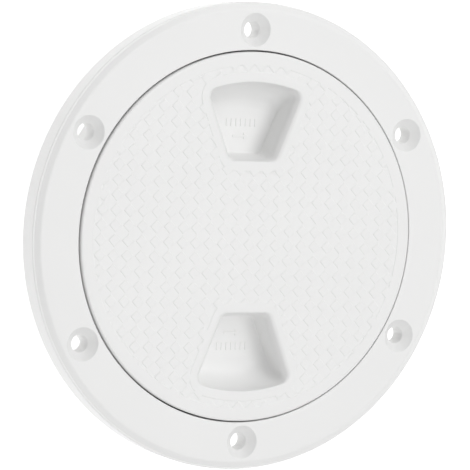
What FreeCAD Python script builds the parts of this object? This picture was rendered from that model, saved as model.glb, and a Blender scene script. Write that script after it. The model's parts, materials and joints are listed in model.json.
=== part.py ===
import FreeCAD, Part
import math
import os

import Sketcher
from FreeCAD import Rotation, Vector

# Round screw-out inspection plate for a boat's deck.
# A flanged ring is screwed down over a hole in the deck. A cover with a
# coarse thread screws down into the ring, on to a rubber seal ring.
# Frame: the origin is the centre of the flange's underside, where the deck
# is. +Z points up out of the deck, and +Y points to the upper finger recess.
# All lengths are in millimetres.

doc = FreeCAD.newDocument("deck_plate")
sheet = doc.addObject("Spreadsheet::Sheet", "Sizes")

SIZES = (
    # flange of the ring
    ("flange_height", 8.0, "deck to the ring's face"),
    ("flange_radius", 71.5, "outside of the flange, at the deck"),
    ("ledge_outer_radius", 71.4, "outside of the flange, at its ledge"),
    ("ledge_inner_radius", 70.35, "foot of the raised face's wall, on the ledge"),
    ("face_radius", 69.9, "corner of the raised face, before it is rounded"),
    ("ledge_drop", 2.0, "from the ring's face down to the ledge"),
    ("face_round", 1.2, "rounding of the raised face's edge"),
    ("ledge_round", 0.4, "rounding of the ledge's outer edge"),
    ("mouth_round", 0.3, "rounding of the ring's inner edge"),
    # screw holes
    ("screw_circle", 126.0, "diameter of the circle of screw holes"),
    ("screw_count", 6, "number of screw holes"),
    ("screw_hole", 5.3, "diameter of a screw hole"),
    ("screw_head", 10.2, "diameter of the countersink at the face"),
    ("screw_angle", 90.0, "angle of the countersink"),
    # collar below the deck
    ("collar_depth", 14.0, "from the deck down to the collar's end"),
    ("collar_wall", 3.0, "wall of the collar outside its thread"),
    ("collar_bevel", 0.6, "bevel at the collar's end"),
    # cover
    ("lid_radius", 56.4, "radius of the cover's rim"),
    ("lid_gap", 0.6, "gap round the cover's rim"),
    ("lid_proud", 0.6, "height of the cover's face over the ring's face"),
    ("lid_round", 0.6, "rounding of the cover's edge"),
    ("rim_thickness", 3.1, "thickness of the cover's rim over the seal"),
    ("plate_thickness", 3.0, "thickness of the cover's plate"),
    ("pilot_height", 4.0, "height of the plain shoulder inside the seal"),
    ("skirt_wall", 2.6, "wall of the cover's skirt inside its thread"),
    ("skirt_short", 1.0, "how far the skirt stops above the collar's end"),
    ("skirt_bevel", 0.6, "bevel at the skirt's end"),
    # thread pair
    ("thread_root_radius", 51.8, "root of the cover's thread"),
    ("thread_depth", 1.4, "height of the thread's ridge"),
    ("thread_pitch", 5.0, "pitch of the single-start right-hand thread"),
    ("thread_crest", 1.65, "width of the ridge at its crest"),
    ("thread_slope", 0.5, "axial run of a flank for each unit of its height"),
    ("thread_clearance", 0.3, "radial clearance between crest and root"),
    ("thread_bury", 0.4, "depth to which a ridge is rooted in its wall"),
    ("lid_turns", 2.0, "turns of the cover's thread"),
    ("ring_turns", 1.5, "turns of the ring's thread"),
    ("thread_end_space", 0.5, "from the cover's thread to the skirt's end"),
    # seal ring
    ("seal_height", 2.5, "height of the squeezed seal ring"),
    ("seal_width", 3.1, "width of the squeezed seal ring"),
    ("seal_gap", 0.3, "gap between the seal ring and the shoulder"),
    # finger recesses
    ("cup_inner", 23.2, "from the cover's axis to the recess's straight inner edge"),
    ("cup_outer", 47.1, "radius of the recess's curved outer edge"),
    ("cup_inner_half", 7.8, "half width of the recess at its inner edge"),
    ("cup_outer_half", 16.2, "half width of the recess at its outer edge"),
    ("cup_depth", 10.2, "from the cover's face to the recess's floor"),
    ("cup_inner_round", 2.6, "rounding of the inner corners"),
    ("cup_outer_round", 2.8, "rounding of the outer corners"),
    ("cup_side_round", 2.2, "rounding between the cover's face and a side wall"),
    ("cup_side_angle", 20.0, "slope off the face at which that rounding starts"),
    ("cup_side_run", 0.4, "how far a side wall leans in over the depth"),
    ("cup_inner_run", 1.8, "how far the inner wall leans in over the depth"),
    ("cup_scoop_run", 7.6, "how far the scooped outer wall runs in to the floor"),
    ("cup_wall", 2.2, "wall of the recess's cup"),
    ("lid_turn", -0.7, "turn of the recesses about the axis, in degrees"),
    # ribs under the cover
    ("rib_thickness", 2.2, "thickness of the ribs under the cover"),
    ("rib_depth", 6.0, "height of the ribs under the cover"),
    # tread
    ("tread_radius", 52.4, "radius of the tread field"),
    ("tread_border", 3.1, "plain border round a recess"),
    ("tread_depth", 0.3, "height of the studs over the tread's floor"),
    ("stud_pitch", 4.54, "pitch of the square grid of studs"),
    ("stud_top", 3.5, "corner to corner of a stud's top"),
    ("stud_base", 4.3, "corner to corner of a stud's base"),
    ("stud_clear", 0.2, "least room round a stud that stands clear of the field's edge"),
    ("stud_reach", 1.2, "how far outside the field the middle of a cut stud may lie"),
    ("tread_turn", -2.2, "turn of the stud grid about the axis, in degrees"),
)

for row, (alias, number, meaning) in enumerate(SIZES, start=1):
    sheet.set(f"A{row}", meaning)
    sheet.set(f"B{row}", str(number))
    sheet.setAlias(f"B{row}", alias)
doc.recompute()


class Size:
    """A number together with the cell expression that it comes from."""

    def __init__(self, value, text):
        self.value = value
        self.text = text

    @staticmethod
    def of(item):
        return item if isinstance(item, Size) else Size(float(item), repr(item))

    def join(self, other, sign, value):
        return Size(value, f"({self.text} {sign} {other.text})")

    def __add__(self, other):
        other = Size.of(other)
        return self.join(other, "+", self.value + other.value)

    def __sub__(self, other):
        other = Size.of(other)
        return self.join(other, "-", self.value - other.value)

    def __mul__(self, other):
        other = Size.of(other)
        return self.join(other, "*", self.value * other.value)

    def __truediv__(self, other):
        other = Size.of(other)
        return self.join(other, "/", self.value / other.value)

    def __neg__(self):
        return Size(-self.value, f"(-1 * {self.text})")


def size(alias):
    return Size(float(sheet.get(alias)), f"Sizes.{alias}")


AXIS_X = Size(0.0, "0")
AXIS_Y = Size(0.0, "0")
FULL_TURN = 360
SAME = 1e-6
UPRIGHT = 0.99
MOUTH_STEPS = 4
WALL_STEPS = 6
TOOL_RISE = 2.0
STUD_OVERSHOOT = 0.08

# heights, from the ring's face down
face_z = size("flange_height")
ledge_z = face_z - size("ledge_drop")
lid_top_z = face_z + size("lid_proud")
rim_under_z = lid_top_z - size("rim_thickness")
shelf_z = rim_under_z - size("seal_height")
pilot_end_z = rim_under_z - size("pilot_height")
plate_under_z = lid_top_z - size("plate_thickness")
tread_floor_z = lid_top_z - size("tread_depth")
collar_end_z = -size("collar_depth")
skirt_end_z = collar_end_z + size("skirt_short")

# radii of the thread pair, from the cover's root outwards
lid_root = size("thread_root_radius")
lid_crest = lid_root + size("thread_depth")
ring_root = lid_crest + size("thread_clearance")
ring_crest = ring_root - size("thread_depth")
collar_radius = ring_root + size("collar_wall")
skirt_inner = lid_root - size("skirt_wall")
mouth_radius = size("lid_radius") + size("lid_gap")

# the ridge's half widths, and where the two helices start
half_crest = size("thread_crest") / 2
half_buried = half_crest + (size("thread_depth") + size("thread_bury")) * size("thread_slope")
half_root = half_crest + size("thread_depth") * size("thread_slope")
lid_thread_z = skirt_end_z + size("thread_end_space") + half_root
ring_thread_z = lid_thread_z + size("thread_pitch") / 2


def new_body(name):
    return doc.addObject("PartDesign::Body", name)


def origin_plane(body, role):
    """The body's own base plane with this role."""
    for feature in body.Origin.OriginFeatures:
        if feature.Role == role:
            return feature
    raise RuntimeError("no plane " + role)


def new_sketch(body, name, role, lift=None):
    """An empty sketch on one of the body's planes, lifted off it if asked."""
    sketch = body.newObject("Sketcher::SketchObject", name)
    sketch.AttachmentSupport = [(origin_plane(body, role), "")]
    sketch.MapMode = "FlatFace"
    if lift is not None:
        sketch.setExpression("AttachmentOffset.Base.z", lift.text)
    return sketch


def hold(sketch, kind, geometry, place, distance):
    """Ties one coordinate of a point to a size."""
    if distance is AXIS_X or distance is AXIS_Y:
        axis = -2 if kind == "DistanceX" else -1
        sketch.addConstraint(Sketcher.Constraint("PointOnObject", geometry, place, axis))
        return
    number = sketch.addConstraint(
        Sketcher.Constraint(kind, -1, 1, geometry, place, distance.value)
    )
    sketch.setExpression(f"Constraints[{number}]", distance.text)


def polygon_sketch(body, name, role, corners):
    """A closed outline of straight lines with every corner held by sizes."""
    sketch = new_sketch(body, name, role)
    spots = [Vector(x.value, y.value, 0) for x, y in corners]
    count = len(corners)
    for i in range(count):
        sketch.addGeometry(Part.LineSegment(spots[i], spots[(i + 1) % count]), False)
    for i in range(count):
        sketch.addConstraint(Sketcher.Constraint("Coincident", i, 2, (i + 1) % count, 1))
    for i, (x, y) in enumerate(corners):
        hold(sketch, "DistanceX", i, 1, x)
        hold(sketch, "DistanceY", i, 1, y)
    return sketch


def revolve(body, name, sketch):
    """Turns a sketch a full turn about the sketch's vertical axis."""
    feature = body.newObject("PartDesign::Revolution", name)
    feature.Profile = sketch
    feature.ReferenceAxis = (sketch, ["V_Axis"])
    feature.Angle = FULL_TURN
    doc.recompute()
    return feature


def ridge(body, name, sketch, turns):
    """Adds a right-hand helical ridge about the sketch's vertical axis."""
    feature = body.newObject("PartDesign::AdditiveHelix", name)
    feature.Profile = sketch
    feature.ReferenceAxis = (sketch, ["V_Axis"])
    feature.Mode = "pitch-turns-angle"
    feature.setExpression("Pitch", size("thread_pitch").text)
    feature.setExpression("Turns", turns.text)
    doc.recompute()
    return feature


def round_edges(body, name, base, circles, radius, kind="PartDesign::Fillet"):
    """Rounds or bevels the full circles about Z with these radii and heights."""
    names = []
    for number, edge in enumerate(base.Shape.Edges, start=1):
        if not isinstance(edge.Curve, Part.Circle):
            continue
        for circle_radius, circle_z in circles:
            same_radius = abs(edge.Curve.Radius - circle_radius.value) < SAME
            same_height = abs(edge.Curve.Center.z - circle_z.value) < SAME
            centred = math.hypot(edge.Curve.Center.x, edge.Curve.Center.y) < SAME
            if same_radius and same_height and centred:
                names.append(f"Edge{number}")
    if not names:
        raise RuntimeError("no edge for " + name)
    feature = body.newObject(kind, name)
    feature.Base = (base, names)
    feature.setExpression("Radius" if kind.endswith("Fillet") else "Size", radius.text)
    doc.recompute()
    return feature


def make_ring():
    """The flanged ring: a profile turned about the axis, with its thread and screw holes."""
    body = new_body("ring_body")
    profile = polygon_sketch(body, "ring_profile", "XZ_Plane", (
        (ring_root, collar_end_z),
        (collar_radius, collar_end_z),
        (collar_radius, AXIS_Y),
        (size("flange_radius"), AXIS_Y),
        (size("ledge_outer_radius"), ledge_z),
        (size("ledge_inner_radius"), ledge_z),
        (size("face_radius"), face_z),
        (mouth_radius, face_z),
        (mouth_radius, shelf_z),
        (ring_root, shelf_z),
    ))
    turned = revolve(body, "ring_turned", profile)
    rounded = round_edges(body, "face_rounding", turned,
                          [(size("face_radius"), face_z)], size("face_round"))
    rounded = round_edges(body, "ledge_rounding", rounded,
                          [(size("ledge_outer_radius"), ledge_z)], size("ledge_round"))
    rounded = round_edges(body, "mouth_rounding", rounded,
                          [(mouth_radius, face_z)], size("mouth_round"))
    bevelled = round_edges(body, "collar_bevelling", rounded,
                           [(collar_radius, collar_end_z)],
                           size("collar_bevel"), "PartDesign::Chamfer")

    place = new_sketch(body, "screw_place", "XY_Plane", face_z)
    spot = Vector(0, size("screw_circle").value / 2, 0)
    place.addGeometry(Part.Circle(spot, Vector(0, 0, 1), size("screw_hole").value / 2), False)
    hold(place, "DistanceX", 0, 3, AXIS_X)
    hold(place, "DistanceY", 0, 3, size("screw_circle") / 2)
    doc.recompute()
    hole = body.newObject("PartDesign::Hole", "screw_hole")
    hole.Profile = place
    doc.recompute()
    hole.DepthType = "ThroughAll"
    hole.setExpression("Diameter", size("screw_hole").text)
    hole.HoleCutType = "Countersink"
    hole.HoleCutCustomValues = True
    hole.setExpression("HoleCutDiameter", size("screw_head").text)
    hole.setExpression("HoleCutCountersinkAngle", size("screw_angle").text)
    doc.recompute()
    if hole.Shape.Volume >= bevelled.Shape.Volume:
        raise RuntimeError("the screw hole removed nothing")
    holes = body.newObject("PartDesign::PolarPattern", "screw_holes")
    holes.Originals = [hole]
    holes.Axis = (place, ["N_Axis"])
    holes.Angle = FULL_TURN
    holes.setExpression("Occurrences", size("screw_count").text)
    body.Tip = holes
    doc.recompute()

    section = polygon_sketch(body, "ring_ridge", "XZ_Plane", (
        (ring_crest, ring_thread_z - half_crest),
        (ring_root + size("thread_bury"), ring_thread_z - half_buried),
        (ring_root + size("thread_bury"), ring_thread_z + half_buried),
        (ring_crest, ring_thread_z + half_crest),
    ))
    body.Tip = ridge(body, "ring_thread", section, size("ring_turns"))
    doc.recompute()
    body.Label = "ring_frame"
    return body


def side_inset(sink):
    """How far a recess's side wall lies inside its mouth, at this share of the depth."""
    radius = size("cup_side_round").value
    start = math.radians(size("cup_side_angle").value)
    above = max(radius * math.cos(start) - size("cup_depth").value * sink, 0)
    rounded = math.sqrt(radius ** 2 - above ** 2) - radius * math.sin(start)
    return rounded + size("cup_side_run").value * sink


def cup_wire(sink, grow, level):
    """The recess's outline at one level, as a keystone with rounded corners.

    sink runs from 0 at the cover's face to 1 at the recess's floor, and
    grow pushes the whole outline outwards for the cup's outside.
    """
    inner_y = size("cup_inner").value + size("cup_inner_run").value * sink - grow
    scoop = size("cup_scoop_run").value * (1 - math.sqrt(1 - sink ** 2))
    outer_r = size("cup_outer").value - scoop + grow
    # the side as a line through its two ends at the face, moved inwards
    foot = Vector(size("cup_inner_half").value, size("cup_inner").value, 0)
    head_x = size("cup_outer_half").value
    head = Vector(head_x, math.sqrt(size("cup_outer").value ** 2 - head_x ** 2), 0)
    along = (head - foot).normalize()
    outward = Vector(along.y, -along.x, 0)
    start = foot + outward * (grow - side_inset(sink))
    # corners of the keystone
    low = start + along * ((inner_y - start.y) / along.y)
    reach = start.dot(along)
    past = math.sqrt(outer_r ** 2 - (start.dot(start) - reach ** 2)) - reach
    high = start + along * past
    top = Vector(0, outer_r, 0)
    right = Part.LineSegment(low, high).toShape()
    left = Part.LineSegment(Vector(-high.x, high.y, 0), Vector(-low.x, low.y, 0)).toShape()
    base = Part.LineSegment(Vector(-low.x, low.y, 0), low).toShape()
    arc = Part.Arc(high, top, Vector(-high.x, high.y, 0)).toShape()
    solid = Part.Face(Part.Wire([base, right, arc, left])).extrude(Vector(0, 0, 1))
    inner_round = size("cup_inner_round").value + grow
    outer_round = size("cup_outer_round").value + grow
    inner_edges = []
    outer_edges = []
    for edge in solid.Edges:
        if abs(edge.tangentAt(edge.FirstParameter).z) > UPRIGHT:
            inner = edge.Vertexes[0].Y < (inner_y + outer_r) / 2
            (inner_edges if inner else outer_edges).append(edge)
    solid = solid.makeFillet(inner_round, inner_edges)
    solid = solid.makeFillet(outer_round, outer_edges)
    for face in solid.Faces:
        if abs(face.normalAt(0, 0).z) > UPRIGHT and face.CenterOfMass.z < SAME:
            wire = face.OuterWire.copy()
    wire.translate(Vector(0, 0, level))
    return wire


def cup_loft(sinks, grow, depth):
    """A smooth loft through the recess's outlines at these shares of the depth."""
    wires = [cup_wire(sink, grow, lid_top_z.value - depth * sink) for sink in sinks]
    return Part.makeLoft(wires, True, False)


def cup_solid(grow, floor_extra):
    """The recess's form from the face to the floor: its rounded mouth and its wall below that."""
    start = math.radians(size("cup_side_angle").value)
    foot = size("cup_side_round").value * math.cos(start) / size("cup_depth").value
    mouth = []
    for step in range(MOUTH_STEPS + 1):
        bend = start + (math.pi / 2 - start) * step / MOUTH_STEPS
        mouth.append(foot * (1 - math.cos(bend) / math.cos(start)))
    first = math.asin(foot)
    wall = []
    for step in range(WALL_STEPS + 1):
        wall.append(math.sin(first + (math.pi / 2 - first) * step / WALL_STEPS))
    depth = size("cup_depth").value + floor_extra
    return cup_loft(mouth, grow, depth).fuse(cup_loft(wall, grow, depth))


def both_cups(name, shape):
    """The recess's shape at both ends of the cover."""
    feature = doc.addObject("Part::Feature", name)
    turn = size("lid_turn").value
    pair = []
    for half_turn in (0, 180):
        copy = shape.copy()
        copy.rotate(Vector(0, 0, 0), Vector(0, 0, 1), turn + half_turn)
        pair.append(copy)
    feature.Shape = Part.makeCompound(pair)
    return feature


def cups_outside():
    """The cups that stand down from the plate, cut off inside the plate's thickness."""
    wall = size("cup_wall").value
    shell = cup_solid(wall, wall)
    reach = size("lid_radius").value
    above = Part.makeBox(2 * reach, 2 * reach, reach, Vector(-reach, -reach, 0))
    above.translate(Vector(0, 0, (plate_under_z.value + lid_top_z.value) / 2))
    return both_cups("cups_outside", shell.cut(above))


def cups_inside():
    """The room of the recesses, carried up past the cover's face."""
    room = cup_solid(0, 0)
    mouth = Part.Face(cup_wire(0, 0, lid_top_z.value)).extrude(Vector(0, 0, TOOL_RISE))
    return both_cups("cups_inside", room.fuse(mouth).removeSplitter())


def field_face():
    """The flat region of the tread: a disc without the borders of the recesses."""
    field = Part.Face(Part.Wire(Part.makeCircle(size("tread_radius").value)))
    border = Part.Face(cup_wire(0, size("tread_border").value, 0))
    for half_turn in (0, 180):
        copy = border.copy()
        copy.rotate(Vector(0, 0, 0), Vector(0, 0, 1), size("lid_turn").value + half_turn)
        field = field.cut(copy)
    return field.Faces[0] if len(field.Faces) == 1 else field


def stud_spots(field):
    """The middles of the studs: those that stand clear in the field, and those its edge cuts."""
    pitch = size("stud_pitch").value
    turn = Rotation(Vector(0, 0, 1), size("tread_turn").value)
    rows = math.ceil(size("tread_radius").value / pitch) + 1
    edge = Part.makeCompound(field.Edges)
    clear = []
    cut = []
    for i in range(-rows, rows + 1):
        for j in range(-rows, rows + 1):
            spot = turn.multVec(Vector(i * pitch, (j + 0.5) * pitch, 0))
            middle = Part.Vertex(spot)
            if field.distToShape(middle)[0] > size("stud_reach").value:
                continue
            if edge.distToShape(middle)[0] > (size("stud_base").value + size("stud_clear").value) / 2:
                clear.append(spot)
            else:
                cut.append(spot)
    return clear, cut


def stud_square(spot, level):
    """The four corners of a stud at one level: a square stood on its corner."""
    base_half = size("stud_base").value / 2
    slope = (base_half - size("stud_top").value / 2) / size("tread_depth").value
    half = base_half - slope * (level - tread_floor_z.value)
    turn = Rotation(Vector(0, 0, 1), size("tread_turn").value)
    corners = (Vector(half, 0, 0), Vector(0, half, 0), Vector(-half, 0, 0), Vector(0, -half, 0))
    return [turn.multVec(corner) + spot + Vector(0, 0, level) for corner in corners]


def tread_hollow(field, cut_spots):
    """What is taken off the cover's face, with the studs that the field's edge cuts left."""
    floor = tread_floor_z.value
    top = lid_top_z.value
    slab = field.extrude(Vector(0, 0, top + TOOL_RISE - floor))
    slab.translate(Vector(0, 0, floor))
    studs = []
    for spot in cut_spots:
        wires = []
        for level in (floor - STUD_OVERSHOOT, top + STUD_OVERSHOOT):
            corners = stud_square(spot, level)
            wires.append(Part.makePolygon(corners + corners[:1]))
        studs.append(Part.makeLoft(wires, True, True))
    feature = doc.addObject("Part::Feature", "tread_hollow")
    feature.Shape = slab.cut(Part.makeCompound(studs))
    return feature


def stand_studs(shape, spots):
    """Opens the tread's floor under each clear stud and closes it with the stud's sides and top."""
    floor = tread_floor_z.value
    faces = []
    floors = []
    for face in shape.Faces:
        flat = isinstance(face.Surface, Part.Plane) and abs(face.CenterOfMass.z - floor) < SAME
        (floors if flat else faces).append(face)
    floors.sort(key=lambda face: face.Area)
    ground = floors.pop()
    feet = []
    for spot in spots:
        base = stud_square(spot, floor)
        top = stud_square(spot, lid_top_z.value)
        feet.append(Part.makePolygon(base + base[:1]))
        faces.append(Part.Face(Part.makePolygon(top + top[:1])))
        for i in range(4):
            j = (i + 1) % 4
            side = [base[i], base[j], top[j], top[i], base[i]]
            faces.append(Part.Face(Part.makePolygon(side)))
    ground = Part.makeFace(ground.Wires + feet, "Part::FaceMakerBullseye")
    shell = Part.makeShell(faces + floors + ground.Faces)
    shell.sewShape()
    return Part.makeSolid(shell)


def rib(name, long_half, across):
    """A straight rib under the plate, along X, or along Y where across is set."""
    box = doc.addObject("Part::Box", name)
    thick = size("rib_thickness")
    names = ("Width", "Length") if across else ("Length", "Width")
    box.setExpression(names[0], (long_half * 2).text)
    box.setExpression(names[1], thick.text)
    box.setExpression("Height", (size("rib_depth") + size("plate_thickness") / 2).text)
    corner = (-thick / 2, -long_half) if across else (-long_half, -thick / 2)
    box.setExpression("Placement.Base.x", corner[0].text)
    box.setExpression("Placement.Base.y", corner[1].text)
    box.setExpression("Placement.Base.z", (plate_under_z - size("rib_depth")).text)
    return box


def make_lid():
    """The cover: plate, shoulder and threaded skirt, with ribs, recesses and tread."""
    body = new_body("lid_body")
    profile = polygon_sketch(body, "lid_profile", "XZ_Plane", (
        (AXIS_X, plate_under_z),
        (skirt_inner, plate_under_z),
        (skirt_inner, skirt_end_z),
        (lid_root, skirt_end_z),
        (lid_root, pilot_end_z),
        (lid_crest, pilot_end_z),
        (lid_crest, rim_under_z),
        (size("lid_radius"), rim_under_z),
        (size("lid_radius"), lid_top_z),
        (AXIS_X, lid_top_z),
    ))
    turned = revolve(body, "lid_turned", profile)
    rounded = round_edges(body, "lid_rounding", turned,
                          [(size("lid_radius"), lid_top_z)], size("lid_round"))
    round_edges(body, "skirt_bevelling", rounded, [(lid_root, skirt_end_z)],
                size("skirt_bevel"), "PartDesign::Chamfer")
    section = polygon_sketch(body, "lid_ridge", "XZ_Plane", (
        (lid_root - size("thread_bury"), lid_thread_z - half_buried),
        (lid_crest, lid_thread_z - half_crest),
        (lid_crest, lid_thread_z + half_crest),
        (lid_root - size("thread_bury"), lid_thread_z + half_buried),
    ))
    body.Tip = ridge(body, "lid_thread", section, size("lid_turns"))
    doc.recompute()

    whole = doc.addObject("Part::MultiFuse", "lid_whole")
    whole.Shapes = [
        body,
        cups_outside(),
        rib("rib_across", skirt_inner + size("skirt_wall") / 2, False),
        rib("rib_between", size("cup_inner"), True),
    ]
    opened = doc.addObject("Part::Cut", "lid_opened")
    opened.Base = whole
    opened.Tool = cups_inside()
    doc.recompute()
    field = field_face()
    clear, cut = stud_spots(field)
    treaded = doc.addObject("Part::Cut", "lid_treaded")
    treaded.Base = opened
    treaded.Tool = tread_hollow(field, cut)
    doc.recompute()
    lid = doc.addObject("Part::Feature", "lid")
    lid.Shape = stand_studs(treaded.Shape, clear)
    return lid


def make_seal():
    """The rubber seal ring, squeezed between the cover's rim and the ring's shelf."""
    body = new_body("seal_body")
    sketch = new_sketch(body, "seal_section", "XZ_Plane")
    radius = size("seal_height") / 2
    inner = lid_crest + size("seal_gap")
    near = inner + radius
    far = inner + size("seal_width") - radius
    middle = shelf_z + radius
    up = Vector(0, 0, 1)
    half_pi = math.pi / 2
    for centre, first, last in ((near, half_pi, 3 * half_pi), (far, -half_pi, half_pi)):
        circle = Part.Circle(Vector(centre.value, middle.value, 0), up, radius.value)
        sketch.addGeometry(Part.ArcOfCircle(circle, first, last), False)
    for sign in (-1, 1):
        level = middle.value + sign * radius.value
        line = Part.LineSegment(Vector(near.value, level, 0), Vector(far.value, level, 0))
        sketch.addGeometry(line, False)
    for arc, arc_end, line, line_end in ((0, 2, 2, 1), (2, 2, 1, 1), (1, 2, 3, 2), (3, 1, 0, 1)):
        sketch.addConstraint(Sketcher.Constraint("Tangent", arc, arc_end, line, line_end))
    sketch.addConstraint(Sketcher.Constraint("Horizontal", 2))
    hold(sketch, "DistanceX", 0, 3, near)
    hold(sketch, "DistanceY", 0, 3, middle)
    hold(sketch, "DistanceX", 1, 3, far)
    number = sketch.addConstraint(Sketcher.Constraint("Radius", 0, radius.value))
    sketch.setExpression(f"Constraints[{number}]", radius.text)
    revolve(body, "seal_turned", sketch)
    body.Label = "o_ring"
    return body


def check_document():
    """Stops if any object of the document has failed."""
    for item in doc.Objects:
        if {"Invalid", "Error"} & set(item.State):
            raise RuntimeError(item.Label + " has failed")


def export(pieces):
    """Writes each piece to parts/, under its own name."""
    os.makedirs("parts", exist_ok=True)
    for piece in pieces:
        shape = piece.Shape
        if shape.isNull() or not shape.isValid() or len(shape.Solids) != 1:
            raise RuntimeError(piece.Label + " is not one valid solid")
        shape.exportStep(f"parts/{piece.Label}.step")
        print(piece.Label, round(shape.Volume, 1), "mm3", len(shape.Faces), "faces")


pieces = [make_ring(), make_lid(), make_seal()]
check_document()
export(pieces)
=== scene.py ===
import json
import logging
import math
from collections.abc import Sequence
from dataclasses import dataclass, field
from enum import Enum

import bmesh
import bpy
import numpy as np
from bpy.types import ID, Material, Mesh, Node, NodeSocket, NodeTree, Object
from mathutils import Matrix, Vector, geometry


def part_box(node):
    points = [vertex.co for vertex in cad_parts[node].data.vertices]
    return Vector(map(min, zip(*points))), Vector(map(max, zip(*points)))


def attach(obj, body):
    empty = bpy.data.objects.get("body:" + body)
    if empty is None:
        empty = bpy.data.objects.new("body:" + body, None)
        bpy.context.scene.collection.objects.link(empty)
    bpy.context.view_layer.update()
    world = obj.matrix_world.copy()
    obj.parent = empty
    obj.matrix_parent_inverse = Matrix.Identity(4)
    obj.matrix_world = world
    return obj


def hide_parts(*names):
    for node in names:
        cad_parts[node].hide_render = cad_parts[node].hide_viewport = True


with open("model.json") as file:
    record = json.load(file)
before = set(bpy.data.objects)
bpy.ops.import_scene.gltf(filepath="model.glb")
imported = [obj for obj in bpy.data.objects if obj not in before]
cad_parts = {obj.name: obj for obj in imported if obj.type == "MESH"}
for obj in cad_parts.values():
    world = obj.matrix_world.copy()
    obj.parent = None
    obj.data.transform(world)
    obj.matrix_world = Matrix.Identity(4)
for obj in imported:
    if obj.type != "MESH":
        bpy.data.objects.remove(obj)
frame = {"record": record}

# Round screw-out inspection plate for a deck: a flanged ring, a threaded
# cover with a stud tread, and a rubber seal between them.
# The builders work in millimetres, and a finished piece is scaled to metres.

LOG = logging.getLogger("deck_plate")

MM = 0.001
FULL_TURN = 2.0 * math.pi
QUARTER = math.pi / 2
ROUND_STEPS = 288
BEND_STEPS = 6
HOLE_STEPS = 64
WELD = 0.001
FLAT_EPSILON = 1e-5
SHARP_ANGLE = math.radians(38.0)
SEEN_RAYS = ("Camera", "Glossy", "Transmission")

Flat = tuple[float, float]
Spot = tuple[float, float, float]
Corner = tuple[float, float, float]
Colour = tuple[float, float, float]
Path = list[Flat]
Ring = list[Spot]
Level = tuple[Path, float]
Faces = list[tuple[int, ...]]
Inputs = dict[str | int, object]

# The sizes of the record's mounts, in millimetres.
MOUNTS = {mount["name"]: mount["dims"] for mount in frame["record"]["mounts"]}


class Part(Enum):
    """The solids of the frame, each with its body and its slot in the record."""

    RING = ("ring_frame", "mounting_ring", "ring_plastic")
    SEAL = ("o_ring", "seal", "seal_rubber")
    LID = ("lid", "cover", "lid_plastic")

    def __init__(self, node: str, body: str, slot: str) -> None:
        """Keeps the three names.

        Args:
            node: the solid.
            body: the body that it belongs to.
            slot: its material slot.
        """
        self.node = node
        self.body = body
        self.slot = slot

    def box(self) -> tuple[Vector, Vector]:
        """The solid's lowest and highest corner, in millimetres."""
        low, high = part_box(self.node)
        return low / MM, high / MM


class ThreadSide(Enum):
    """The way in which a thread's ridge stands out from its wall."""

    INWARD = -1.0
    OUTWARD = 1.0


class RecessSide(Enum):
    """The half turn that takes the upper recess to each recess, in degrees."""

    UPPER = 0.0
    LOWER = 180.0


def arc(centre: Flat | Vector, radius: float, ends: Flat, steps: int) -> Path:
    """Points along an arc, both its ends among them.

    Args:
        centre: the arc's middle.
        radius: the arc's radius.
        ends: the angles of its first and last point, in radians.
        steps: how many runs the arc has.

    Returns:
        The points.
    """
    start, end = ends
    angles = [start + (end - start) * step / steps for step in range(steps + 1)]
    return [(centre[0] + radius * math.cos(a), centre[1] + radius * math.sin(a)) for a in angles]


def circle(radius: float, steps: int = ROUND_STEPS, centre: Flat = (0.0, 0.0)) -> Path:
    """Points round a circle, counter-clockwise from +X."""
    return arc(centre, radius, (0.0, FULL_TURN), steps)[:-1]


def turned(points: Path, degrees: float) -> Path:
    """Flat points turned about the origin.

    Args:
        points: the points.
        degrees: the angle, counter-clockwise.

    Returns:
        The turned points.
    """
    cosine = math.cos(math.radians(degrees))
    sine = math.sin(math.radians(degrees))
    return [(x * cosine - y * sine, x * sine + y * cosine) for x, y in points]


def lifted(points: Path, height: float) -> Ring:
    """Flat points set at one height."""
    return [(x, y, height) for x, y in points]


def closed(points: Path) -> Path:
    """A chain of points that ends where it starts."""
    return points + points[:1]


def rounded(corners: list[Corner]) -> Path:
    """A chain of straight runs whose corners are rounded by arcs.

    Args:
        corners: the place and the rounding radius of each corner; the two ends stay plain.

    Returns:
        The points along the chain.
    """
    chain = [corners[0][:2]]
    for before, (x, y, radius), after in zip(corners, corners[1:], corners[2:]):
        corner = Vector((x, y))
        arriving = (corner - Vector(before[:2])).normalized()
        leaving = (Vector(after[:2]) - corner).normalized()
        bend = math.atan2(arriving.cross(leaving), arriving.dot(leaving))
        start = corner - arriving * radius * math.tan(abs(bend) / 2)
        centre = start + Vector((-arriving.y, arriving.x)) * radius * math.copysign(1.0, bend)
        for step in range(BEND_STEPS + 1):
            arm = start - centre
            arm.rotate(Matrix.Rotation(bend * step / BEND_STEPS, 2))
            chain.append((centre.x + arm.x, centre.y + arm.y))
    chain.append(corners[-1][:2])
    return chain


def finer(points: Path, longest: float) -> Path:
    """A line with its long pieces cut into shorter ones.

    Args:
        points: the line's points.
        longest: the greatest length of a piece.

    Returns:
        The points of the finer line.
    """
    made = [points[0]]
    for first, last in zip(points, points[1:]):
        parts = math.ceil(math.dist(first, last) / longest)
        spots = (Vector(first).lerp(Vector(last), step / parts) for step in range(1, parts + 1))
        made.extend((spot.x, spot.y) for spot in spots)
    return made


def shrunk(points: Path, distance: float) -> Path:
    """A closed outline, counter-clockwise, moved inwards.

    Args:
        points: the outline's points.
        distance: how far it moves.

    Returns:
        The moved points.
    """
    moved = []
    for number, point in enumerate(points):
        here = Vector(point)
        after = Vector(points[(number + 1) % len(points)])
        first = (here - Vector(points[number - 1])).normalized().orthogonal()
        second = (after - here).normalized().orthogonal()
        corner = here + (first + second) * distance / (1.0 + first.dot(second))
        moved.append((corner.x, corner.y))
    return moved


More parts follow.
